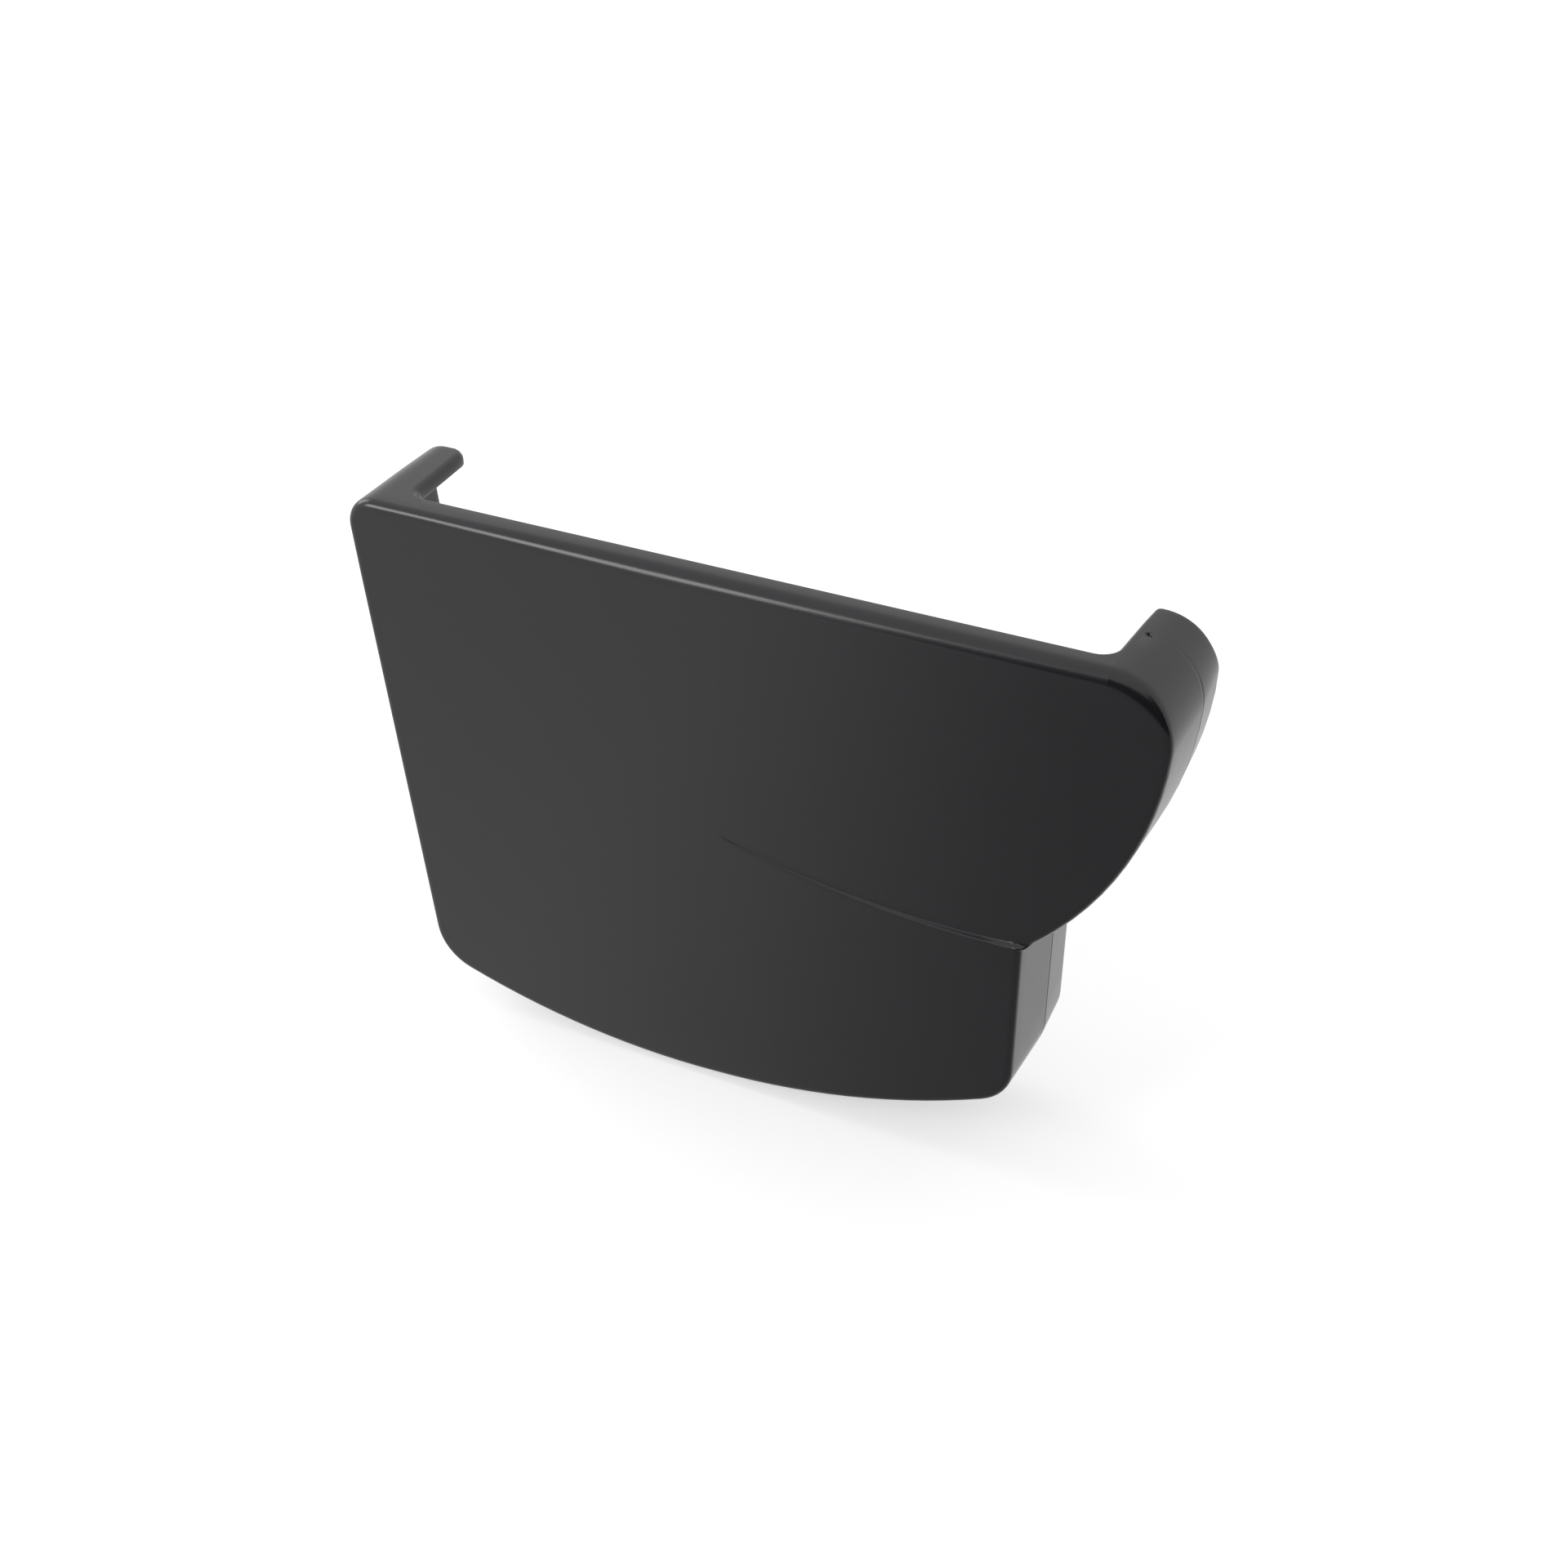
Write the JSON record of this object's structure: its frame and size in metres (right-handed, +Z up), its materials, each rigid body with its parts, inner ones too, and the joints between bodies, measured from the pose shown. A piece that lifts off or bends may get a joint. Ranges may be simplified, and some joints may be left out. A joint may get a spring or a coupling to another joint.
{
  "type": "gutter end cap",
  "caption": "Moulded plastic end cap for a rain gutter with a rounded front: a flat plate with a skirt behind it and a hook at each top corner.",
  "frame": {"origin": "where the fascia line, the level of the gutter's rim and the plane that the gutter's cut end stops against meet", "axes": "+X from the fascia to the front of the gutter, +Y along the gutter from the plate to the mouth, +Z up"},
  "size_m": [0.1609, 0.0277, 0.1154],
  "materials": {
    "anthracite_pvc": "satin moulded surface"
  },
  "bodies": {
    "root": {"end_cap": "anthracite_pvc"}
  },
  "joints": []
}
